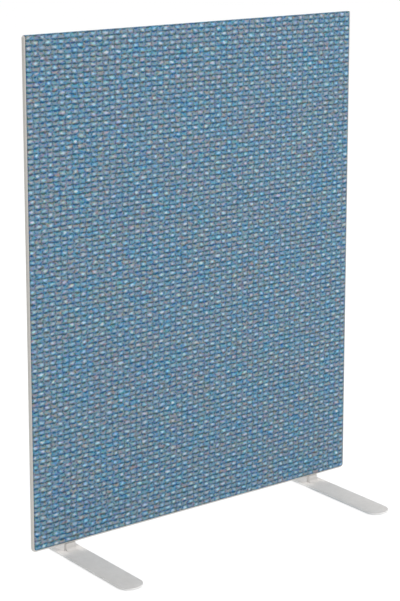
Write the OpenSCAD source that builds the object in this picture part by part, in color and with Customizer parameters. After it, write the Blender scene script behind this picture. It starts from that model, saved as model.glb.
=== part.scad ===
// Free-standing acoustic divider screen: a thin upholstered panel on two flat steel feet.
// Millimetres, +Z up. The origin is on the floor at the middle of the footprint.
// The panel stands across X. The long ends of the feet point to -Y, the front.

/* [Panel] */
// Overall width of the panel, over both side edge strips
panel_w = 1200; // [800:10:1600]
// Overall height of the panel, from the crown of the bottom strip to the top edge
panel_h = 1500; // [1000:10:1800]
// Outside radius of the two bottom corners
corner_r = 14; // [12:1:30]

/* [Layers] */
// Thickness of the felt skin on each face
felt_t = 1.2; // [1:0.1:4]
// Thickness of the woven cover
fabric_t = 0.8; // [0.6:0.1:1.5]

/* [Wooden frame] */
// Width of the two side stiles
stile_w = 40; // [30:1:60]
// Height of the top rail
top_rail_h = 40; // [34:1:80]
// Height of the middle rail
middle_rail_h = 50; // [34:1:80]
// Height of the bottom rail, which takes the feet
bottom_rail_h = 70; // [60:1:120]
// Height of the middle rail's centre above the frame's bottom edge
middle_rail_z = 750; // [400:10:850]
// Diameter of the frame dowels
dowel_d = 5; // [4:0.5:6]
// Length of the frame dowels
dowel_l = 32; // [20:1:50]
// Wood left between the edge strip's groove and the nearest dowel hole
dowel_wall = 1.5; // [1:0.1:3]

/* [Edge strip] */
// How far the rounded strip stands out from the frame's edge
strip_h = 6; // [3:0.5:7]
// Thickness of the strip's tongue
barb_t = 2; // [1.5:0.1:3]
// Depth of the strip's tongue in its groove
barb_l = 8; // [5:0.5:12]

/* [Feet] */
// Distance from the panel's side to the centre line of a foot
foot_inset = 132; // [90:1:250]
// Width of a foot plate
foot_w = 80; // [74:1:120]
// Thickness of a foot plate and of its blade
plate_t = 6; // [4:0.5:8]
// Reach of a foot in front of the panel's middle
foot_front = 340; // [200:5:450]
// Reach of a foot behind the panel's middle
foot_rear = 100; // [90:5:300]
// Radius of the corners at both ends of a foot plate
toe_r = 36; // [20:1:38]
// Open height between the foot plate and the panel
under_gap = 22; // [18:1:45]

/* [Blade and socket] */
// Width of the blade that stands on the foot plate
blade_w = 32; // [24:1:38]
// Thickness of the blade's shoulder, from the foot plate up to the edge strip
shoulder_t = 12; // [7:0.5:13]
// Radius of the hollow weld in front of the shoulder
weld_r = 10; // [6:0.5:12]
// Depth of the blade in its socket
blade_depth = 36; // [30:1:50]
// Wall of the folded steel socket
socket_wall = 1.5; // [1:0.1:2]
// Play of the blade in its socket, in front and behind
blade_play = 0.5; // [0.3:0.1:1]
// Width of each ear of the socket
ear_w = 12; // [10:0.5:16]
// Diameter of the wood screws through the ears
ear_screw_d = 3; // [2.5:0.1:3.5]
// Wood left in front of the tips of these screws
tip_wall = 2; // [1:0.1:3]

/* [Fixing screws] */
// Thread diameter of the screws that lock the blade
screw_d = 5; // [4:0.5:6]
// Distance between the two screws of a foot
screw_pitch = 16; // [15.5:0.5:20]
// Outer diameter of the cup washers
washer_d = 15; // [13:0.5:15.5]
// Height of the cup washers
washer_h = 2.4; // [2:0.1:3]
// Key size of the screw's hexagon recess
key_w = 3; // [2.5:0.5:4]

/* [Floor pads] */
// Diameter of the rubber pads under the feet
pad_d = 16; // [10:1:18]
// Thickness of the rubber pads
pad_t = 1.5; // [1:0.5:4]

/* [Hidden] */
$fn = 64;
left = -1;
right = 1;

// Overrun of every cut past the face that it opens
cut = 1;
// Play of a glued or screwed fit, on each side
fit_gap = 0.05;
// Play round a loose insert, on each side
slip_gap = 0.3;

// The frame is as thick as the socket that is let into it
socket_in_t = plate_t + 2 * blade_play;
frame_t = socket_in_t + 2 * socket_wall;

// Heights and widths worked out from the sizes above
panel_t = frame_t + 2 * felt_t + 2 * fabric_t;
plate_z = pad_t;
plate_top = plate_z + plate_t;
panel_z = plate_top + under_gap;
panel_y = (foot_front - foot_rear) / 2;
foot_x = panel_w / 2 - foot_inset;
frame_w = panel_w - 2 * strip_h;
frame_h = panel_h - strip_h - fabric_t;
frame_bottom = strip_h;
frame_top = frame_bottom + frame_h;
inner_r = corner_r - strip_h;
bay_w = frame_w - 2 * stile_w;
groove_t = barb_t + 2 * fit_gap;
groove_l = barb_l + slip_gap;
middle_bottom = frame_bottom + middle_rail_z - middle_rail_h / 2;
middle_top = middle_bottom + middle_rail_h;
strip_arc_r = (panel_t * panel_t / 4 + strip_h * strip_h) / (2 * strip_h);

// Blade, socket and screw sizes
blade_top = under_gap + strip_h + blade_depth;
shoulder_top = under_gap - slip_gap;
socket_in_w = blade_w + 2 * slip_gap;
socket_out_w = socket_in_w + 2 * socket_wall;
notch_w = socket_out_w + 2 * fit_gap;
ear_span = socket_out_w + 2 * ear_w;
screw_z = frame_bottom + blade_depth / 2;
screw_hole_d = screw_d + 2 * slip_gap;
thread_hole_d = screw_d + 2 * fit_gap;
head_share = 1.9;
head_d = screw_d * head_share;
head_low_share = 0.15;
head_low = washer_h * head_low_share;
crown_share = 0.35;
crown_h = washer_h * crown_share;
key_depth_share = 0.75;
key_depth = washer_h * key_depth_share;
washer_lip_share = 0.16;
washer_lip = washer_h * washer_lip_share;
screw_l = panel_t / 2 + plate_t / 2 - slip_gap;
ear_head_share = 1.8;
ear_head_d = ear_screw_d * ear_head_share;
ear_screw_l = frame_t - tip_wall;

// Dowels and pads
dowel_hole_d = dowel_d + 2 * fit_gap;
dowel_hole_l = dowel_l + 2 * slip_gap;
dowel_edge = groove_l + dowel_wall + dowel_hole_d / 2;
pad_x = foot_w / 4;
pad_end = toe_r + pad_d / 2;

function screw_x(side, hand) = side * foot_x + hand * screw_pitch / 2;
function ear_x(side, hand) = side * foot_x + hand * (socket_out_w / 2 + ear_w / 2);

// The front-view sketch becomes an upright board from y0 to y0 + t
module upright(y0, t) {
    translate([0, y0 + t, 0]) rotate([90, 0, 0]) linear_extrude(t) children();
}

// The side-view sketch, drawn as depth and height, becomes a piece centred on X
module across(w) {
    rotate([90, 0, 90]) linear_extrude(w, center = true) children();
}

// From the panel's own frame, at the bottom of its middle plane, to the floor's
module in_panel() {
    translate([0, panel_y, panel_z]) children();
}

// Front view of the frame, felt and cover, with its two rounded bottom corners
module board_outline(top) {
    translate([-frame_w / 2, frame_bottom + inner_r])
        square([frame_w, top - frame_bottom - inner_r]);
    translate([inner_r - frame_w / 2, frame_bottom])
        square([frame_w - 2 * inner_r, inner_r]);
    for (side = [left, right])
        translate([side * (frame_w / 2 - inner_r), frame_bottom + inner_r])
            circle(inner_r);
}

// Rod along X, centred, for a dowel or its hole
module rod_x(d, l) {
    rotate([0, 90, 0]) cylinder(d = d, h = l, center = true);
}

// Rod along Y from y0 to y1, for a screw or its hole
module rod_y(d, y0, y1) {
    translate([0, y1, 0]) rotate([90, 0, 0]) cylinder(d = d, h = y1 - y0);
}

// Its children at the height of both dowels of a rail, at one side's joint
module at_rail_dowels(side, rail_z, rail_h) {
    for (z = [rail_z + dowel_edge, rail_z + rail_h - dowel_edge])
        translate([side * bay_w / 2, 0, z]) children();
}

// Its children at every dowel of one side
module at_side_dowels(side) {
    at_rail_dowels(side, frame_top - top_rail_h, top_rail_h) children();
    at_rail_dowels(side, middle_bottom, middle_rail_h) children();
    at_rail_dowels(side, frame_bottom, bottom_rail_h) children();
}

module dowel_holes(side) {
    at_side_dowels(side) rod_x(dowel_hole_d, dowel_hole_l);
}

// Wooden frame
module stile(side) {
    color("burlywood") in_panel() mirror([side > 0 ? 0 : 1, 0, 0]) difference() {
        upright(-frame_t / 2, frame_t) intersection() {
            board_outline(frame_top);
            translate([bay_w / 2, frame_bottom]) square([stile_w, frame_h]);
        }
        translate([frame_w / 2 - groove_l, -groove_t / 2, frame_bottom + inner_r])
            cube([groove_l + cut, groove_t, frame_h]);
        dowel_holes(right);
    }
}

module rail(z, h) {
    difference() {
        upright(-frame_t / 2, frame_t)
            translate([-bay_w / 2, z]) square([bay_w, h]);
        for (side = [left, right]) dowel_holes(side);
    }
}

module top_rail() {
    color("burlywood") in_panel() rail(frame_top - top_rail_h, top_rail_h);
}

module middle_rail() {
    color("burlywood") in_panel() rail(middle_bottom, middle_rail_h);
}

module bottom_rail() {
    recess = socket_wall + fit_gap;
    color("burlywood") in_panel() difference() {
        rail(frame_bottom, bottom_rail_h);
        translate([-bay_w / 2 - cut, -groove_t / 2, frame_bottom - cut])
            cube([bay_w + 2 * cut, groove_t, groove_l + cut]);
        for (side = [left, right]) {
            translate([side * foot_x - notch_w / 2, -frame_t / 2 - cut, frame_bottom - cut])
                cube([notch_w, frame_t + 2 * cut, blade_depth + cut]);
            translate([side * foot_x - ear_span / 2 - fit_gap, frame_t / 2 - recess,
                       frame_bottom - cut])
                cube([ear_span + 2 * fit_gap, recess + cut, blade_depth + fit_gap + cut]);
            for (hand = [left, right])
                translate([ear_x(side, hand), 0, screw_z])
                    rod_y(ear_screw_d + 2 * fit_gap,
                          frame_t / 2 - ear_screw_l - slip_gap, frame_t / 2);
        }
    }
}

module frame_dowels() {
    color("tan") in_panel()
        for (side = [left, right]) at_side_dowels(side) rod_x(dowel_d, dowel_l);
}

// Sound-absorbing boards in the two bays of the frame
module core(z0, z1) {
    upright(-frame_t / 2, frame_t)
        translate([slip_gap - bay_w / 2, z0 + slip_gap])
            square([bay_w - 2 * slip_gap, z1 - z0 - 2 * slip_gap]);
}

module upper_core() {
    color("gainsboro") in_panel() core(middle_top, frame_top - top_rail_h);
}

module lower_core() {
    color("gainsboro") in_panel() core(frame_bottom + bottom_rail_h, middle_bottom);
}

// Felt skins, glued over the frame and the boards
module front_felt() {
    color("dimgray") in_panel()
        upright(-frame_t / 2 - felt_t, felt_t) board_outline(frame_top);
}

module rear_screw_holes() {
    for (side = [left, right], hand = [left, right])
        translate([screw_x(side, hand), 0, screw_z])
            rod_y(screw_hole_d, 0, panel_t / 2 + cut);
}

module rear_felt() {
    color("dimgray") in_panel() difference() {
        upright(frame_t / 2, felt_t) board_outline(frame_top);
        rear_screw_holes();
    }
}

// Woven cover: the front piece is drawn over the top edge, the back piece ends under it
module front_fabric() {
    front_y = -panel_t / 2;
    color("steelblue") in_panel() {
        upright(front_y, fabric_t) board_outline(frame_top);
        translate([-frame_w / 2, front_y + fabric_t, frame_top])
            cube([frame_w, panel_t - fabric_t, fabric_t]);
        translate([0, front_y + fabric_t, frame_top]) across(frame_w) intersection() {
            circle(fabric_t);
            translate([-fabric_t, 0]) square(fabric_t);
        }
    }
}

module rear_fabric() {
    color("steelblue") in_panel() difference() {
        upright(panel_t / 2 - fabric_t, fabric_t) board_outline(frame_top);
        rear_screw_holes();
    }
}

// Edge strip: the section is a shallow arc as wide as the panel is thick
module strip_section() {
    intersection() {
        translate([strip_h - strip_arc_r, 0]) circle(strip_arc_r);
        translate([0, -panel_t / 2]) square([strip_h, panel_t]);
    }
}

// Quarter bend of the strip about Y: it starts along +X and ends along +Z
module strip_bend(r) {
    rotate([90, 0, 0]) rotate_extrude(angle = 90) translate([r, 0]) strip_section();
}

module side_strip(side) {
    z0 = frame_bottom + inner_r;
    straight = panel_h - strip_h - z0;
    color("silver") in_panel() mirror([side > 0 ? 0 : 1, 0, 0]) translate([frame_w / 2, 0, z0]) {
        linear_extrude(straight) strip_section();
        translate([0, 0, straight]) strip_bend(0);
        translate([-barb_l, -barb_t / 2, slip_gap])
            cube([barb_l, barb_t, straight - 2 * slip_gap]);
    }
}

module bottom_edge_strip() {
    straight = frame_w - 2 * inner_r;
    slot_w = blade_w + 2 * slip_gap;
    slot_t = plate_t + 2 * slip_gap;
    gap_w = notch_w + 2 * slip_gap;
    color("silver") in_panel() difference() {
        union() {
            translate([-straight / 2, 0, frame_bottom]) rotate([0, 90, 0])
                linear_extrude(straight) strip_section();
            for (side = [left, right]) mirror([side > 0 ? 0 : 1, 0, 0])
                translate([straight / 2, 0, frame_bottom + inner_r])
                    mirror([0, 0, 1]) strip_bend(inner_r);
            translate([slip_gap - bay_w / 2, -barb_t / 2, frame_bottom])
                cube([bay_w - 2 * slip_gap, barb_t, barb_l]);
        }
        for (side = [left, right]) {
            translate([side * foot_x - slot_w / 2, -slot_t / 2, -cut])
                cube([slot_w, slot_t, frame_bottom + 2 * cut]);
            translate([side * foot_x - gap_w / 2, -panel_t / 2, frame_bottom])
                cube([gap_w, panel_t, barb_l + cut]);
        }
    }
}

// Folded steel socket with an ear on each side, let into the bottom rail
module socket(side) {
    color("lightsteelblue") in_panel() translate([side * foot_x, 0, 0]) difference() {
        union() {
            translate([-socket_out_w / 2, -frame_t / 2, frame_bottom])
                cube([socket_out_w, frame_t, blade_depth]);
            translate([-ear_span / 2, frame_t / 2 - socket_wall, frame_bottom])
                cube([ear_span, socket_wall, blade_depth]);
        }
        translate([-socket_in_w / 2, -socket_in_t / 2, frame_bottom - cut])
            cube([socket_in_w, socket_in_t, blade_depth + 2 * cut]);
        for (hand = [left, right]) {
            translate([hand * screw_pitch / 2, 0, screw_z])
                rod_y(screw_hole_d, 0, frame_t / 2 + cut);
            translate([hand * (socket_out_w + ear_w) / 2, frame_t / 2, screw_z]) {
                rod_y(ear_screw_d + 2 * fit_gap, -socket_wall - cut, cut);
                rotate([90, 0, 0]) cylinder(d1 = ear_head_d + 2 * fit_gap,
                    d2 = ear_screw_d + 2 * fit_gap, h = socket_wall);
            }
        }
    }
}

module socket_screws() {
    color("darkgray") in_panel() for (side = [left, right], hand = [left, right])
        translate([ear_x(side, hand), frame_t / 2, screw_z]) {
            rotate([90, 0, 0])
                cylinder(d1 = ear_head_d, d2 = ear_screw_d, h = socket_wall);
            rod_y(ear_screw_d, -ear_screw_l, -socket_wall);
        }
}

// Foot plate outline from above, both ends rounded alike
module plate_outline() {
    length = foot_front + foot_rear;
    translate([-foot_w / 2, toe_r - foot_front]) square([foot_w, length - 2 * toe_r]);
    translate([toe_r - foot_w / 2, -foot_front]) square([foot_w - 2 * toe_r, length]);
    for (x = [toe_r - foot_w / 2, foot_w / 2 - toe_r],
         y = [toe_r - foot_front, foot_rear - toe_r])
        translate([x, y]) circle(toe_r);
}

// Side view of the blade: plugged through the plate, with a thick shoulder that ends just under the
// edge strip, and a hollow weld in front
module blade_profile() {
    translate([-plate_t / 2, -plate_t]) square([plate_t, blade_top + plate_t]);
    translate([-shoulder_t / 2, -plate_t]) square([shoulder_t, shoulder_top + plate_t]);
    difference() {
        translate([-shoulder_t / 2 - weld_r, -plate_t]) square([weld_r, weld_r + plate_t]);
        translate([-shoulder_t / 2 - weld_r, weld_r]) circle(weld_r);
    }
}

// One foot: a flat plate with the blade welded on
module foot(side) {
    color("gainsboro") translate([side * foot_x, panel_y, 0]) difference() {
        union() {
            translate([0, 0, plate_z]) linear_extrude(plate_t) plate_outline();
            translate([0, 0, plate_top]) across(blade_w) blade_profile();
        }
        for (hand = [left, right])
            translate([hand * screw_pitch / 2, 0, panel_z + screw_z])
                rod_y(thread_hole_d, -plate_t / 2 - cut, plate_t / 2 + cut);
    }
}

// Screws from the back, through cup washers, into the threaded blade
module foot_screw() {
    rotate([-90, 0, 0]) difference() {
        union() {
            translate([0, 0, -screw_l]) cylinder(d = screw_d, h = screw_l + head_low);
            translate([0, 0, head_low])
                cylinder(d1 = screw_d, d2 = head_d, h = washer_h - head_low);
            translate([0, 0, washer_h])
                cylinder(d1 = head_d, d2 = screw_d, h = crown_h);
        }
        translate([0, 0, washer_h + crown_h - key_depth])
            cylinder(r = key_w / sqrt(3), h = key_depth + cut, $fn = 6);
    }
}

module cup_washer() {
    bore_r = screw_d / 2 + slip_gap;
    seat_r = head_d / 2 + slip_gap;
    rotate([-90, 0, 0]) rotate_extrude() polygon([
        [bore_r, 0],
        [washer_d / 2, 0],
        [washer_d / 2, washer_lip],
        [seat_r + washer_lip, washer_h],
        [seat_r, washer_h],
        [bore_r, head_low]
    ]);
}

module at_foot_screws() {
    in_panel() for (side = [left, right], hand = [left, right])
        translate([screw_x(side, hand), panel_t / 2, screw_z]) children();
}

module foot_screws() {
    color("silver") at_foot_screws() foot_screw();
}

module cup_washers() {
    color("silver") at_foot_screws() cup_washer();
}

// Rubber pads, four under each foot, near its two ends
module foot_pads() {
    color("dimgray") translate([0, panel_y, 0])
        for (side = [left, right], hand = [left, right],
             y = [pad_end - foot_front, foot_rear - pad_end])
            translate([side * foot_x + hand * pad_x, y, 0]) cylinder(d = pad_d, h = pad_t);
}

stile(left);  // left_stile
stile(right);  // right_stile
top_rail();
middle_rail();
bottom_rail();
frame_dowels();
upper_core();
lower_core();
front_felt();
rear_felt();
front_fabric();
rear_fabric();
side_strip(left);  // left_edge_strip
side_strip(right);  // right_edge_strip
bottom_edge_strip();
socket(left);  // left_socket
socket(right);  // right_socket
socket_screws();
foot(left);  // left_foot
foot(right);  // right_foot
foot_screws();
cup_washers();
foot_pads();
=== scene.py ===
"""Looks of the free-standing acoustic divider screen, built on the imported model."""

import math

import bmesh
import bpy
import numpy as np
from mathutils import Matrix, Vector


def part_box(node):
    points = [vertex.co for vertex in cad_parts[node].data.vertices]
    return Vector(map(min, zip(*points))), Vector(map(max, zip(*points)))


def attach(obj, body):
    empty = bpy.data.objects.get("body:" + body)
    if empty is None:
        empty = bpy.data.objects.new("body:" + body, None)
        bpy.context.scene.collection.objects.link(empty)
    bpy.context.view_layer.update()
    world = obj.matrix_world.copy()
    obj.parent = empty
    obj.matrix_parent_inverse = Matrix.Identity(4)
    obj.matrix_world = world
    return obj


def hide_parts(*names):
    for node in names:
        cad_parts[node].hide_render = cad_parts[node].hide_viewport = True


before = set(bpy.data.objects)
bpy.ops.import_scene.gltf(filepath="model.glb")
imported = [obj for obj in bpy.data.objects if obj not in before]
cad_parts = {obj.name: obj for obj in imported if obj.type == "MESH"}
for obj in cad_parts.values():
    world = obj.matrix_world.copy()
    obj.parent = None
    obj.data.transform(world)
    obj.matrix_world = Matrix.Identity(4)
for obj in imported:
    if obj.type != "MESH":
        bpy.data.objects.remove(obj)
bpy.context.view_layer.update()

MM = 0.001
FRONT_LOW, FRONT_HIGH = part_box("front_fabric")
REAR_LOW, REAR_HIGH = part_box("rear_fabric")
COVER_T = REAR_HIGH.y - REAR_LOW.y
SCREW_Z = (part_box("cup_washers")[0].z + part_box("cup_washers")[1].z) / 2
FOOT_X = (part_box("right_foot")[0].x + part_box("right_foot")[1].x) / 2
SCREW_HALF_PITCH = 8 * MM
SCREW_XS = [side * FOOT_X + step * SCREW_HALF_PITCH for side in (-1, 1) for step in (-1, 1)]

# The real yarn is about 1 mm thick and would vanish at this distance. The weave is drawn as coarse as the
# photo shows it: 56 yarns across and 104 up the panel, a crossing of about 21 by 14 mm.
COLUMNS, ROWS = 56, 104
CROSSING_W = (FRONT_HIGH.x - FRONT_LOW.x) / COLUMNS
CROSSING_H = (REAR_HIGH.z - REAR_LOW.z) / ROWS
# Steps of a cover's mesh in one crossing
STEPS = 4

# Inner radius of the edge strip at the two bottom corners
CORNER_R = 8 * MM
# Width over which a cover is turned in at its edges, how far it sinks there, and the depth of its hem
EDGE_TURN = 4 * MM
EDGE_SINK = 0.45 * MM
HEM_DEPTH = 0.3 * MM
# Mesh rows that go round the bend above the front, and as many again that lie flat on the panel's top
BEND_ROWS = 4
# The washers press the rear cover flat this far from the screws, and the weave is full again beyond the fade
PRESSED_R = 8 * MM
PRESSED_FADE = 5 * MM
SCREW_HOLE_R = 3.4 * MM

PLATE_T = 6 * MM
PLATE_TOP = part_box("right_foot")[0].z + PLATE_T
EDGE_ROUND = 1 * MM
# Half the width and half the depth of the patch round a blade, in which edges stay sharp
WELD_HALF_W = 21 * MM
WELD_HALF_D = 20 * MM
# Points and heights nearer than this are the same
NEARLY = 0.01 * MM

# Pattern scales count per metre, so this one is a pattern of 1 mm
PER_MM = 1000


# Camera, light and floor

def place_camera():
    """The photo's viewpoint, fitted to the panel's corners and the edges of the feet, with a small shift
    for the framing."""
    bpy.ops.object.camera_add(
        location=(-3.1249, -4.0199, 2.0441),
        rotation=(math.radians(90 - 10.767), 0, math.radians(-37.148)),
    )
    camera = bpy.context.object
    camera.name = "photo_camera"
    camera.data.sensor_width = 36
    camera.data.lens = 105.93
    camera.data.shift_y = -0.2
    bpy.context.scene.camera = camera


def srgb(code):
    """Turn an sRGB hex colour to the linear values that a shader takes."""
    parts = [int(code[i : i + 2], 16) / 255 for i in (1, 3, 5)]
    return [p / 12.92 if p <= 0.04045 else ((p + 0.055) / 1.055) ** 2.4 for p in parts] + [1.0]


def add(tree, kind, settings):
    """Add one shader node. Each setting names a property or an input and gives its value, or the node or
    output that feeds it. The setting "stops" gives the places and colours of a colour band."""
    made = tree.nodes.new("ShaderNode" + kind)
    for name, value in settings.items():
        if isinstance(value, bpy.types.Node):
            value = value.outputs[0]
        if name == "stops":
            band = made.color_ramp.elements
            while len(band) < len(value):
                band.new(0.5)
            for element, (place, code) in zip(band, value):
                element.position = place
                element.color = srgb(code)
        elif isinstance(value, bpy.types.NodeSocket):
            tree.links.new(value, made.inputs[name])
        elif isinstance(name, int) or name in made.inputs:
            made.inputs[name].default_value = value
        else:
            setattr(made, name, value)
    return made


def new_material(name):
    """An empty material and its node tree."""
    material = bpy.data.materials.new(name)
    material.use_nodes = True
    material.node_tree.nodes.clear()
    return material, material.node_tree


def straight_to_eye(tree):
    """1 for rays from the camera, a mirror or glass, and 0 for the light that falls on things."""
    path = add(tree, "LightPath", {})
    both = add(tree, "Math", {"operation": "MAXIMUM", 0: path.outputs["Is Camera Ray"],
                              1: path.outputs["Is Glossy Ray"]})
    return add(tree, "Math", {"operation": "MAXIMUM", 0: both, 1: path.outputs["Is Transmission Ray"]})


def light_studio():
    """A white room, a high softbox in front and one behind, which shines under the panel."""
    scene = bpy.context.scene
    scene.view_settings.view_transform = "Standard"
    world = bpy.data.worlds.new("white_studio")
    scene.world = world
    world.use_nodes = True
    tree = world.node_tree
    tree.nodes.clear()
    # The room is dimmer at the object's left, which models the rounded strip and the sides of the blades
    toward = add(tree, "SeparateXYZ", {0: add(tree, "TexCoord", {}).outputs["Generated"]})
    level = add(tree, "MapRange", {"Value": toward.outputs["X"], "From Min": -1.0, "From Max": 1.0,
                                   "To Min": 0.42, "To Max": 0.98})
    fill = add(tree, "Background", {"Color": srgb("#ffffff"), "Strength": level})
    white = add(tree, "Background", {"Color": srgb("#ffffff"), "Strength": 1.0})
    mixed = add(tree, "MixShader", {0: straight_to_eye(tree), 1: fill, 2: white})
    add(tree, "OutputWorld", {"Surface": mixed})

    # name, place, size, power and the point it faces
    boxes = (("front_softbox", (2.2, -4.3, 7.8), (3.2, 2.4), 320, (0, 0, 0.6)),
             ("back_softbox", (-0.8, 4.5, 3.0), (2.0, 1.5), 125, (0, 0.3, 0)))
    for name, place, size, power, target in boxes:
        bpy.ops.object.light_add(type="AREA", location=place)
        box = bpy.context.object
        box.name = name
        box.data.shape = "RECTANGLE"
        box.data.size, box.data.size_y = size
        box.data.energy = power
        box.rotation_euler = (Vector(target) - Vector(place)).to_track_quat("-Z", "Y").to_euler()


def lay_floor():
    """A floor that looks white, with a matt share that takes the object's shadow."""
    bpy.ops.mesh.primitive_grid_add(x_subdivisions=8, y_subdivisions=8, size=40, location=(0, 0, 0))
    floor = bpy.context.object
    floor.name = "studio_floor"
    material, tree = new_material("white_studio_floor")
    matt = add(tree, "BsdfDiffuse", {"Color": srgb("#f6f6f6")})
    glow = add(tree, "Emission", {"Color": srgb("#ffffff"), "Strength": 1.1})
    share = add(tree, "Math", {"operation": "MULTIPLY", 0: straight_to_eye(tree), 1: 0.78})
    mixed = add(tree, "MixShader", {0: share, 1: matt, 2: glow})
    add(tree, "OutputMaterial", {"Surface": mixed})
    floor.data.materials.append(material)


# Materials

def cross_yarns(tree, uv):
    """The plain weave by named values: where its yarns run, which is on top and where it is full."""
    # Soft staple yarn wanders by about a tenth of a crossing
    wander = add(tree, "TexNoise", {"Vector": uv, "Scale": 0.8, "Detail": 2.0})
    moved = add(tree, "VectorMath", {"operation": "MULTIPLY_ADD", 0: wander.outputs["Color"],
                                     1: (1.0, 0.5, 0), 2: uv})
    yarns = add(tree, "VectorMath", {"operation": "SUBTRACT", 0: moved, 1: (0.5, 0.25, 0)})
    crossing = add(tree, "VectorMath", {"operation": "FLOOR", 0: yarns})
    along = add(tree, "SeparateXYZ", {0: yarns})
    # 0 at the gap between two yarns and 0.5 on the middle of one
    warp = add(tree, "Math", {"operation": "PINGPONG", 0: along.outputs["X"], 1: 0.5})
    weft = add(tree, "Math", {"operation": "PINGPONG", 0: along.outputs["Y"], 1: 0.5})
    count = add(tree, "VectorMath", {"operation": "DOT_PRODUCT", 0: crossing, 1: (1, 1, 0)})
    warp_on_top = add(tree, "Math", {"operation": "PINGPONG", 0: count.outputs["Value"], 1: 1.0})
    on_row = add(tree, "MapRange", {"interpolation_type": "SMOOTHSTEP", "Value": weft, "From Min": 0.03,
                                    "From Max": 0.30})
    on_column = add(tree, "MapRange", {"Value": warp, "From Min": 0.0, "From Max": 0.18, "To Min": 0.15})
    full = add(tree, "Math", {"operation": "MULTIPLY", 0: on_row, 1: on_column})
    oval = add(tree, "Math", {"operation": "MULTIPLY", 0: warp, 1: weft})
    bulge = add(tree, "MapRange", {"interpolation_type": "SMOOTHSTEP", "Value": oval, "From Min": 0.06,
                                   "From Max": 0.18})
    knuckle = add(tree, "Math", {"operation": "MULTIPLY", 0: bulge, 1: warp_on_top})
    return {"yarns": yarns, "crossing": crossing, "upward": along.outputs["Y"], "warp": warp,
            "warp_on_top": warp_on_top, "full": full, "knuckle": knuckle}


def dye_yarns(tree, uv, weave):
    """Colour of the yarns, the gaps left out, and how strongly each pale knuckle shows."""
    # Each float of yarn has a dye of its own, and fibres of other dyes fleck it
    lot = add(tree, "TexWhiteNoise", {"noise_dimensions": "2D", "Vector": weave["crossing"]})
    dyed = add(tree, "ValToRGB", {"Fac": lot, "stops": [
        (0.0, "#3a86b4"), (0.2, "#848c98"), (0.4, "#4c92b0"), (0.6, "#989492"), (0.8, "#6090b2"),
        (1.0, "#5c9eb8")]})
    flecks = add(tree, "TexNoise", {"Vector": uv, "Scale": 2.4, "Detail": 2.0, "Roughness": 0.6})
    fibres = add(tree, "ValToRGB", {"Fac": flecks, "stops": [
        (0.32, "#1c6e9a"), (0.41, "#4d94b2"), (0.47, "#6f90b0"), (0.53, "#96948e"), (0.60, "#5ea0c0"),
        (0.68, "#a0989e")]})
    mixed = add(tree, "Mix", {"data_type": "RGBA", 0: 0.5, 6: fibres, 7: dyed})
    # Wide patches lean to grey, as a heather cloth does between its bobbins
    patch = add(tree, "TexNoise", {"Vector": uv, "Scale": 0.2, "Detail": 3.0})
    lean = add(tree, "MapRange", {"Value": patch, "From Min": 0.42, "From Max": 0.62, "To Max": 0.45})
    run = add(tree, "Mix", {"data_type": "RGBA", 0: lean, 6: mixed.outputs[2], 7: srgb("#8b8f94")})

    # The knuckles of warp are pale, and no two are alike in colour or in strength
    pale = add(tree, "ValToRGB", {"Fac": lot, "stops": [
        (0.0, "#98cbe2"), (0.22, "#b9bfd2"), (0.42, "#a0c8e4"), (0.62, "#aecfd8"), (0.8, "#92b8d4"),
        (1.0, "#c8d8e4")]})
    chance = add(tree, "SeparateColor", {0: lot.outputs["Color"]})
    worn = add(tree, "MapRange", {"Value": chance.outputs[1], "To Min": 0.45})
    shown = add(tree, "Math", {"operation": "MULTIPLY", 0: weave["knuckle"], 1: worn})
    yarn = add(tree, "Mix", {"data_type": "RGBA", 0: shown, 6: run.outputs[2], 7: pale})
    return yarn.outputs[2], shown


def paint_gap_shade(tree, uv, weave, yarn):
    """The yarns' colour with painted shade in the gaps between them and below each knuckle."""
    # The painted shade in a gap changes hue along the row, and fibres bridge the gap here and there
    depth = add(tree, "TexNoise", {"Vector": uv, "Scale": 1.9, "Detail": 1.0})
    gap_shade_colour = add(tree, "ValToRGB", {"Fac": depth.outputs["Color"], "stops": [
        (0.34, "#004a80"), (0.43, "#165a7a"), (0.5, "#2c506e"), (0.57, "#3a5a58"), (0.68, "#5a5564")]})
    hollow = add(tree, "Math", {"operation": "SUBTRACT", 0: 1.0, 1: weave["full"]})
    bridged = add(tree, "MapRange", {"Value": depth, "From Min": 0.38, "From Max": 0.60, "To Min": 0.3})
    gap_shade_mask = add(tree, "Math", {"operation": "MULTIPLY", 0: hollow, 1: bridged})
    # The painted shade is deepest just below a knuckle, as the shadow that the knuckle casts
    upper = add(tree, "Math", {"operation": "FRACT", 0: weave["upward"]})
    under = add(tree, "MapRange", {"interpolation_type": "SMOOTHSTEP", "Value": upper, "From Min": 0.56,
                                   "From Max": 0.84})
    centred = add(tree, "MapRange", {"interpolation_type": "SMOOTHSTEP", "Value": weave["warp"],
                                     "From Min": 0.14, "From Max": 0.40})
    below = add(tree, "Math", {"operation": "MULTIPLY", 0: under, 1: centred})
    weft_on_top = add(tree, "Math", {"operation": "SUBTRACT", 0: 1.0, 1: weave["warp_on_top"]})
    painted_knuckle_shadow = add(tree, "Math", {"operation": "MULTIPLY", 0: below, 1: weft_on_top})
    # Painted shade: the gaps and the knuckles' shadows take the dark gap colours
    dark = add(tree, "Math", {"operation": "MULTIPLY_ADD", 0: painted_knuckle_shadow, 1: 0.75, 2: gap_shade_mask, "use_clamp": True})
    return add(tree, "Mix", {"data_type": "RGBA", 0: dark, 6: yarn, 7: gap_shade_colour}).outputs[2]


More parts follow.
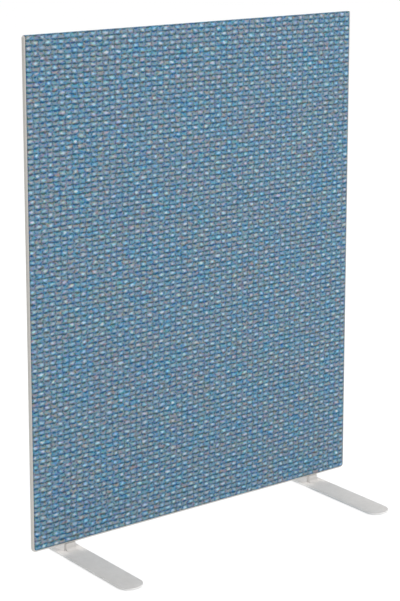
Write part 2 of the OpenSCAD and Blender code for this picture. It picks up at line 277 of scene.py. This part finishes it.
def tint_fibres(tree, weave, woven, shown):
    """The woven colour with the small differences between its fibres."""
    # Single fibres tint spots about a third of a crossing wide, and strands of warmer or cooler dye tint
    # spots about twice as wide
    speck = add(tree, "TexNoise", {"Vector": weave["yarns"], "Scale": 2.8, "Detail": 2.0, "Roughness": 0.6})
    fine = add(tree, "VectorMath", {"operation": "MULTIPLY_ADD", 0: speck.outputs["Color"],
                                    1: (1.3, 1.2, 1.1), 2: (0.35, 0.4, 0.45)})
    strand = add(tree, "TexNoise", {"Vector": weave["yarns"], "Scale": 1.5, "Detail": 3.0, "Roughness": 0.7})
    warm = add(tree, "VectorMath", {"operation": "MULTIPLY_ADD", 0: strand, 1: (2.3, -0.2, -1.4),
                                    2: (-0.15, 1.1, 1.7)})
    full_tint = add(tree, "VectorMath", {"operation": "MULTIPLY", 0: fine, 1: warm})
    # The warp is spun from fewer dyes, so its knuckles take half as much of the tint
    calm = add(tree, "Math", {"operation": "MULTIPLY", 0: shown, 1: 0.5})
    tint = add(tree, "Mix", {"data_type": "RGBA", 0: calm, 6: full_tint, 7: srgb("#ffffff")})
    return add(tree, "VectorMath", {"operation": "MULTIPLY", 0: woven, 1: tint.outputs[2]})


def woven_heather_cloth():
    # Plain-woven polyester from mixed-dyed staple yarn. Grey-blue weft runs along the rows and pale knuckles
    # of warp stand on it. The gaps between and the spots below the knuckles carry painted dark blue shade,
    # and loose fibre gives a faint sheen and no gloss.
    material, tree = new_material("woven_heather_polyester")
    uv = add(tree, "UVMap", {"uv_map": "crossings"})
    weave = cross_yarns(tree, uv)
    yarn, shown = dye_yarns(tree, uv, weave)
    woven = paint_gap_shade(tree, uv, weave, yarn)
    colour = tint_fibres(tree, weave, woven, shown)

    # Fibres lie along the rows, and the yarn rises most where a knuckle stands
    fibre = add(tree, "Mapping", {"Vector": uv, "Scale": (3, 22, 1)})
    fuzz = add(tree, "TexNoise", {"Vector": fibre, "Scale": 1.0, "Detail": 2.0})
    bare = add(tree, "Math", {"operation": "MULTIPLY_ADD", 0: weave["knuckle"], 1: 0.5, 2: weave["full"]})
    rise = add(tree, "Math", {"operation": "MULTIPLY_ADD", 0: fuzz, 1: 0.3, 2: bare})
    relief_of_yarn = add(tree, "Bump", {"Height": rise, "Distance": 0.8 * MM, "Strength": 0.7})
    surface = add(tree, "BsdfPrincipled", {"Base Color": colour, "Normal": relief_of_yarn, "Roughness": 0.92,
                                           "Specular IOR Level": 0.15, "Sheen Weight": 0.12,
                                           "Sheen Roughness": 0.5})
    add(tree, "OutputMaterial", {"Surface": surface})
    return material


def extruded_silver_plastic(name, along):
    # Rigid PVC, mass-coloured silver grey and drawn through a die: a soft even gloss, with faint die lines
    # about 1 mm apart that run along the strip.
    material, tree = new_material(name)
    where = add(tree, "TexCoord", {}).outputs["Object"]
    drawn = [PER_MM, PER_MM, PER_MM]
    drawn[along] = 8
    lines = add(tree, "TexNoise", {"Vector": add(tree, "Mapping", {"Vector": where, "Scale": drawn}),
                                   "Scale": 0.9, "Detail": 3.0})
    cloud = add(tree, "TexNoise", {"Vector": where, "Scale": 12.0, "Detail": 2.0})
    both = add(tree, "Mix", {0: 0.5, 2: lines, 3: cloud})
    colour = add(tree, "ValToRGB", {"Fac": both, "stops": [(0.25, "#c2bfba"), (0.8, "#cecbc6")]})
    scored = add(tree, "Bump", {"Height": lines, "Distance": 0.03 * MM, "Strength": 0.6})
    surface = add(tree, "BsdfPrincipled", {"Base Color": colour, "Normal": scored, "Roughness": 0.30})
    add(tree, "OutputMaterial", {"Surface": surface})
    return material


def matt_silver_powder_coat():
    # Fine-textured silver powder baked on steel plate: nearly matt and even, with the shallow orange peel
    # of melted powder, about 3 mm across, and only a broad weak gloss.
    material, tree = new_material("matt_silver_powder_coat")
    where = add(tree, "TexCoord", {}).outputs["Object"]
    peel = add(tree, "TexNoise", {"Vector": where, "Scale": 330.0, "Detail": 2.0})
    blotch = add(tree, "TexNoise", {"Vector": where, "Scale": 50.0, "Detail": 3.0})
    both = add(tree, "Mix", {0: 0.55, 2: peel, 3: blotch})
    flat = add(tree, "ValToRGB", {"Fac": both, "stops": [(0.3, "#ccc9c6"), (0.7, "#d5d2cf")]})
    # Painted light: the plate's sheared sides and underside are painted a shade paler than its flat top, to
    # stand in for light falling on them
    height = add(tree, "SeparateXYZ", {0: where})
    painted_light_on_sides = add(tree, "MapRange", {"Value": height.outputs["Z"], "From Min": PLATE_TOP - EDGE_ROUND,
                                      "From Max": PLATE_TOP, "To Min": 1.0, "To Max": 0.0})
    colour = add(tree, "Mix", {"data_type": "RGBA", 0: painted_light_on_sides, 6: flat, 7: srgb("#f0efed")}).outputs[2]
    rough = add(tree, "MapRange", {"Value": blotch, "To Min": 0.56, "To Max": 0.68})
    dimpled = add(tree, "Bump", {"Height": peel, "Distance": 0.02 * MM, "Strength": 0.5})
    surface = add(tree, "BsdfPrincipled", {"Base Color": colour, "Normal": dimpled, "Roughness": rough,
                                           "Specular IOR Level": 0.2})
    add(tree, "OutputMaterial", {"Surface": surface})
    return material


def turned_metal(name, low, high, roughness):
    # Turned steel, stainless or plated: bright, with fine rings round each screw's own axis. The rings are
    # 0.4 mm apart, coarser than a tool leaves them, so that they show.
    material, tree = new_material(name)
    where = add(tree, "TexCoord", {}).outputs["Object"]
    # Folding the place about the middle and about each foot brings all four screws onto one axis
    folded = add(tree, "VectorMath", {"operation": "ABSOLUTE", 0: where})
    beside = add(tree, "VectorMath", {"operation": "SUBTRACT", 0: folded, 1: (FOOT_X, 0, SCREW_Z)})
    halved = add(tree, "VectorMath", {"operation": "MULTIPLY", 0: beside, 1: (1, 0, 1)})
    paired = add(tree, "VectorMath", {"operation": "ABSOLUTE", 0: halved})
    centred = add(tree, "VectorMath", {"operation": "SUBTRACT", 0: paired, 1: (SCREW_HALF_PITCH, 0, 0)})
    radius = add(tree, "VectorMath", {"operation": "LENGTH", 0: centred})
    turns = add(tree, "Math", {"operation": "MULTIPLY", 0: radius.outputs["Value"], 1: 1 / (0.4 * MM)})
    ring = add(tree, "Math", {"operation": "PINGPONG", 0: turns, 1: 0.5})
    colour = add(tree, "ValToRGB", {"Fac": ring, "stops": [(0.0, low), (0.5, high)]})
    grooved = add(tree, "Bump", {"Height": ring, "Distance": 0.02 * MM, "Strength": 0.5})
    surface = add(tree, "BsdfPrincipled", {"Base Color": colour, "Normal": grooved, "Metallic": 1.0,
                                           "Roughness": roughness})
    add(tree, "OutputMaterial", {"Surface": surface})
    return material


def rolled_metal(name, low, high, roughness, along):
    # Rolled steel sheet with a zinc coat: dull grey, with a crystal bloom about 8 mm across and rolling
    # streaks.
    material, tree = new_material(name)
    where = add(tree, "TexCoord", {}).outputs["Object"]
    rolled = [PER_MM, PER_MM, PER_MM]
    rolled[along] = 60
    streaks = add(tree, "TexNoise", {"Vector": add(tree, "Mapping", {"Vector": where, "Scale": rolled}),
                                     "Scale": 0.8, "Detail": 2.0})
    bloom = add(tree, "TexVoronoi", {"Vector": where, "Scale": 120.0})
    both = add(tree, "Mix", {0: 0.5, 2: streaks, 3: bloom.outputs["Distance"]})
    colour = add(tree, "ValToRGB", {"Fac": both, "stops": [(0.2, low), (0.8, high)]})
    scored = add(tree, "Bump", {"Height": streaks, "Distance": 0.02 * MM, "Strength": 0.4})
    surface = add(tree, "BsdfPrincipled", {"Base Color": colour, "Normal": scored, "Metallic": 1.0,
                                           "Roughness": roughness})
    add(tree, "OutputMaterial", {"Surface": surface})
    return material


def moulded_rubber():
    # Black rubber, moulded and dusty: dark, dull and finely pitted, a pit in each 0.8 mm.
    material, tree = new_material("moulded_black_rubber")
    where = add(tree, "TexCoord", {}).outputs["Object"]
    pits = add(tree, "TexNoise", {"Vector": where, "Scale": 1200.0, "Detail": 3.0})
    colour = add(tree, "ValToRGB", {"Fac": pits, "stops": [(0.3, "#202021"), (0.7, "#343435")]})
    pitted = add(tree, "Bump", {"Height": pits, "Distance": 0.1 * MM, "Strength": 0.6})
    surface = add(tree, "BsdfPrincipled", {"Base Color": colour, "Normal": pitted, "Roughness": 0.85,
                                           "Specular IOR Level": 0.3})
    add(tree, "OutputMaterial", {"Surface": surface})
    return material


def planed_wood(name, dark, light, along):
    # Planed timber: year rings drawn out along the piece, about 4 mm apart, and a matt raw surface.
    material, tree = new_material(name)
    where = add(tree, "TexCoord", {}).outputs["Object"]
    grown = [PER_MM, PER_MM, PER_MM]
    grown[along] = 40
    grain = add(tree, "Mapping", {"Vector": where, "Scale": grown})
    rings = add(tree, "TexWave", {"Vector": grain, "Scale": 0.08, "Distortion": 6.0, "Detail": 3.0})
    fibre = add(tree, "TexNoise", {"Vector": grain, "Scale": 1.4, "Detail": 3.0})
    both = add(tree, "Mix", {0: 0.4, 2: rings.outputs["Fac"], 3: fibre})
    colour = add(tree, "ValToRGB", {"Fac": both, "stops": [(0.1, dark), (0.9, light)]})
    raised = add(tree, "Bump", {"Height": fibre, "Distance": 0.08 * MM, "Strength": 0.5})
    surface = add(tree, "BsdfPrincipled", {"Base Color": colour, "Normal": raised, "Roughness": 0.65,
                                           "Specular IOR Level": 0.3})
    add(tree, "OutputMaterial", {"Surface": surface})
    return material


def pressed_fibre(name, dark, light, size_mm, depth_mm):
    # Pressed or needled fibre: fluffy, with no gloss and a tangle of light and dark strands.
    material, tree = new_material(name)
    where = add(tree, "TexCoord", {}).outputs["Object"]
    tangle = add(tree, "TexNoise", {"Vector": where, "Scale": PER_MM / size_mm, "Detail": 5.0,
                                    "Roughness": 0.7})
    colour = add(tree, "ValToRGB", {"Fac": tangle, "stops": [(0.3, dark), (0.7, light)]})
    fluffed = add(tree, "Bump", {"Height": tangle, "Distance": depth_mm * MM, "Strength": 0.8})
    surface = add(tree, "BsdfPrincipled", {"Base Color": colour, "Normal": fluffed, "Roughness": 0.97,
                                           "Specular IOR Level": 0.05})
    add(tree, "OutputMaterial", {"Surface": surface})
    return material


# Covers

def relief(u, v):
    """Height of the yarn above the cover's face, in metres, at a place counted in crossings."""
    knuckle_mm, run_mm, sunk_mm = 0.6, 0.38, 0.2
    across = np.cos(np.pi * (u % 1 - 0.5))
    up = np.cos(np.pi * (v % 1 - 0.5))
    warp_up = (np.floor(u) + np.floor(v)) % 2
    knuckle = knuckle_mm * across * up
    run = run_mm * up * (0.6 + 0.4 * across)
    return (np.where(warp_up > 0.5, knuckle, run) - sunk_mm) * MM


def round_corners(x, z, low):
    """Pull the two bottom corners of a square grid onto the strip's inner radius."""
    side = np.sign(x)
    dx = np.abs(x) - (FRONT_HIGH.x - CORNER_R)
    dz = (low + CORNER_R) - z
    at = (dx > 0) & (dz > 0)
    reach = np.hypot(dx, dz)
    factor = np.where(at, np.maximum(dx, dz) / np.where(reach > 0, reach, 1), 1)
    x = np.where(at, side * (FRONT_HIGH.x - CORNER_R + dx * factor), x)
    z = np.where(at, low + CORNER_R - dz * factor, z)
    return x, z


def press_under_washers(lift, x, z):
    """Flatten the weave where the cup washers of the back press on it."""
    for screw_x in SCREW_XS:
        off = np.hypot(x - screw_x, z - SCREW_Z)
        lift = lift * np.clip((off - PRESSED_R) / PRESSED_FADE, 0, 1)
    return lift


def turn_edges(lift, edge):
    """Fade the weave out and sink the cover towards its edges, by each point's distance to the edge."""
    turned = np.clip(1 - edge / EDGE_TURN, 0, 1)
    return lift * (1 - turned) - EDGE_SINK * turned ** 2


def draw_over_top(row, y, z, v, face, back, top):
    """Take the rows past the face round the bend and across the panel's top edge, to its back."""
    rows = ROWS * STEPS
    past = np.clip(row - rows, 0, 2 * BEND_ROWS)
    turn = np.clip(past / BEND_ROWS, 0, 1) * np.pi / 2
    flat = np.clip((past - BEND_ROWS) / BEND_ROWS, 0, 1) * (back - face - COVER_T)
    bent = row > rows
    last_crossing = (row >= rows - STEPS) & ~bent
    y = np.where(last_crossing, face + (y - face) * (rows - row) / STEPS, y)
    y = np.where(bent, face + COVER_T - COVER_T * np.cos(turn) + flat, y)
    z = np.where(bent, top + COVER_T * np.sin(turn), z)
    v = np.where(bent, ROWS + (turn * COVER_T + flat) / CROSSING_H, v)
    return y, z, v


def cut_screw_holes(bm):
    """Take out the faces of the rear cover that the four screws pass through."""
    holes = []
    for face in bm.faces:
        middle = face.calc_center_median()
        across = abs(abs(middle.x) - FOOT_X) - SCREW_HALF_PITCH
        if math.hypot(across, middle.z - SCREW_Z) < SCREW_HOLE_R:
            holes.append(face)
    bmesh.ops.delete(bm, geom=holes, context="FACES")


def turn_in_hem(bm):
    """Extrude the rim of the sheet inwards, so that its cut edges show the cloth's thickness."""
    def spot(point):
        return tuple(round(c, 7) for c in point.co)

    bm.normal_update()
    rim = [edge for edge in bm.edges if edge.is_boundary]
    inward = {spot(point): -point.normal.copy() for edge in rim for point in edge.verts}
    hem = bmesh.ops.extrude_edge_only(bm, edges=rim)
    for made in hem["geom"]:
        if isinstance(made, bmesh.types.BMVert):
            made.co += inward[spot(made)].normalized() * HEM_DEPTH


def weave_cover(name, node, facing, over_top):
    """One cover as a single sheet, its mesh laid out on the crossings of the weave."""
    low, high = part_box(node)
    face = low.y if facing < 0 else high.y
    top = high.z - COVER_T if over_top else high.z
    rows = ROWS * STEPS
    all_rows = rows + 2 * BEND_ROWS if over_top else rows
    bpy.ops.object.select_all(action="DESELECT")
    bpy.ops.mesh.primitive_grid_add(x_subdivisions=COLUMNS * STEPS, y_subdivisions=all_rows, size=1)
    cover = bpy.context.object
    cover.name = name
    mesh = cover.data
    grid = np.zeros(len(mesh.vertices) * 3)
    mesh.vertices.foreach_get("co", grid)
    grid = grid.reshape(-1, 3)
    column = np.rint((grid[:, 0] + 0.5) * COLUMNS * STEPS)
    row = np.rint((grid[:, 1] + 0.5) * all_rows)

    u = column / STEPS
    v = np.minimum(row, rows) / STEPS
    x = FRONT_LOW.x + u * CROSSING_W
    z = low.z + np.minimum(row, rows) / rows * (top - low.z)
    x, z = round_corners(x, z, low.z)
    lift = relief(u, v)
    edge = np.minimum(FRONT_HIGH.x - np.abs(x), z - low.z)
    if facing > 0:
        lift = press_under_washers(lift, x, z)
    if not over_top:
        edge = np.minimum(edge, top - z)
    y = face + facing * turn_edges(lift, edge)
    if over_top:
        y, z, v = draw_over_top(row, y, z, v, face, high.y, top)

    mesh.vertices.foreach_set("co", np.column_stack([x, y, z]).ravel())
    layer = mesh.uv_layers[0] if mesh.uv_layers else mesh.uv_layers.new()
    layer.name = "crossings"
    corner = np.zeros(len(mesh.loops), np.int32)
    mesh.loops.foreach_get("vertex_index", corner)
    layer.data.foreach_set("uv", np.column_stack([u[corner], v[corner]]).astype(np.float32).ravel())
    mesh.update()

    bm = bmesh.new()
    bm.from_mesh(mesh)
    if facing > 0:
        cut_screw_holes(bm)
        bmesh.ops.reverse_faces(bm, faces=bm.faces)
    turn_in_hem(bm)
    bm.to_mesh(mesh)
    bm.free()
    for polygon in mesh.polygons:
        polygon.use_smooth = True
    mesh.materials.clear()
    mesh.materials.append(cloth)
    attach(cover, "root")
    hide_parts(node)
    return cover


# Feet

def mark_sheared_edges(mesh, node):
    """Weigh the plate's upper and lower rim for the bevel, and leave out the edges at the blade."""
    low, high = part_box(node)
    centre_x = (low.x + high.x) / 2
    panel_y = (FRONT_LOW.y + REAR_HIGH.y) / 2
    bm = bmesh.new()
    bm.from_mesh(mesh)
    weight = bm.edges.layers.float.new("bevel_weight_edge")
    for edge in bm.edges:
        if len(edge.link_faces) != 2 or edge.calc_face_angle(0) < math.radians(60):
            continue
        level = [min(abs(p.co.z - PLATE_TOP), abs(p.co.z - low.z)) < NEARLY for p in edge.verts]
        middle = (edge.verts[0].co + edge.verts[1].co) / 2
        at_blade = abs(middle.x - centre_x) < WELD_HALF_W and abs(middle.y - panel_y) < WELD_HALF_D
        if all(level) and not at_blade:
            edge[weight] = 1.0
    bm.to_mesh(mesh)
    bm.free()


def round_foot(node):
    """A foot with its sheared plate edge rounded, as tumbling and the paint leave it."""
    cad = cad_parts[node]
    foot = cad.copy()
    foot.data = cad.data.copy()
    foot.name = node + "_painted"
    # The copy is a new piece, so the marks of the CAD node come off it
    for key in list(foot.keys()):
        del foot[key]
    foot.parent = None
    bpy.context.scene.collection.objects.link(foot)
    bpy.ops.object.select_all(action="DESELECT")
    foot.select_set(True)
    bpy.context.view_layer.objects.active = foot
    bpy.ops.object.mode_set(mode="EDIT")
    bpy.ops.mesh.select_all(action="SELECT")
    bpy.ops.mesh.remove_doubles(threshold=NEARLY)
    bpy.ops.mesh.dissolve_limited(angle_limit=math.radians(1))
    bpy.ops.object.mode_set(mode="OBJECT")
    mark_sheared_edges(foot.data, node)
    rounding = foot.modifiers.new("edge_rounding", "BEVEL")
    rounding.limit_method = "WEIGHT"
    rounding.width = EDGE_ROUND
    rounding.segments = 3
    rounding.use_clamp_overlap = False
    bpy.ops.object.modifier_apply(modifier=rounding.name)
    bpy.ops.object.shade_smooth_by_angle(angle=math.radians(40))
    foot.data.materials.clear()
    foot.data.materials.append(painted)
    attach(foot, "root")
    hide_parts(node)
    return foot


# Dressing the model

place_camera()
light_studio()
lay_floor()

cloth = woven_heather_cloth()
painted = matt_silver_powder_coat()
strip_up = extruded_silver_plastic("extruded_silver_pvc_upright", 2)
strip_across = extruded_silver_plastic("extruded_silver_pvc_across", 0)
pine_up = planed_wood("planed_pine_upright", "#c49a62", "#e2c08c", 2)
pine_across = planed_wood("planed_pine_across", "#c49a62", "#e2c08c", 0)
board = pressed_fibre("pressed_polyester_board", "#b9b9b5", "#dededa", 2.0, 0.4)
felt = pressed_fibre("needled_grey_felt", "#4b4c4f", "#6d6e72", 1.2, 0.3)
folded = rolled_metal("galvanised_folded_steel", "#8f9498", "#b7bbbd", 0.42, 2)

finishes = {
    "left_edge_strip": strip_up,
    "right_edge_strip": strip_up,
    "bottom_edge_strip": strip_across,
    "left_stile": pine_up,
    "right_stile": pine_up,
    "top_rail": pine_across,
    "middle_rail": pine_across,
    "bottom_rail": pine_across,
    "frame_dowels": planed_wood("turned_beech", "#b98d5c", "#d6ae7c", 0),
    "upper_core": board,
    "lower_core": board,
    "front_felt": felt,
    "rear_felt": felt,
    "left_socket": folded,
    "right_socket": folded,
    "socket_screws": rolled_metal("zinc_plated_screw", "#a09d92", "#c3c0b4", 0.35, 1),
    "foot_screws": turned_metal("stainless_screw", "#9b9b99", "#c4c4c1", 0.30),
    "cup_washers": turned_metal("nickel_plated_cup", "#b5b0a4", "#d8d3c8", 0.22),
    "foot_pads": moulded_rubber(),
}
for node, material in finishes.items():
    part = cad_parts[node]
    part.data.materials.clear()
    part.data.materials.append(material)

front_cover = weave_cover("front_woven_cover", "front_fabric", -1, True)
rear_cover = weave_cover("rear_woven_cover", "rear_fabric", 1, False)
round_foot("left_foot")
round_foot("right_foot")
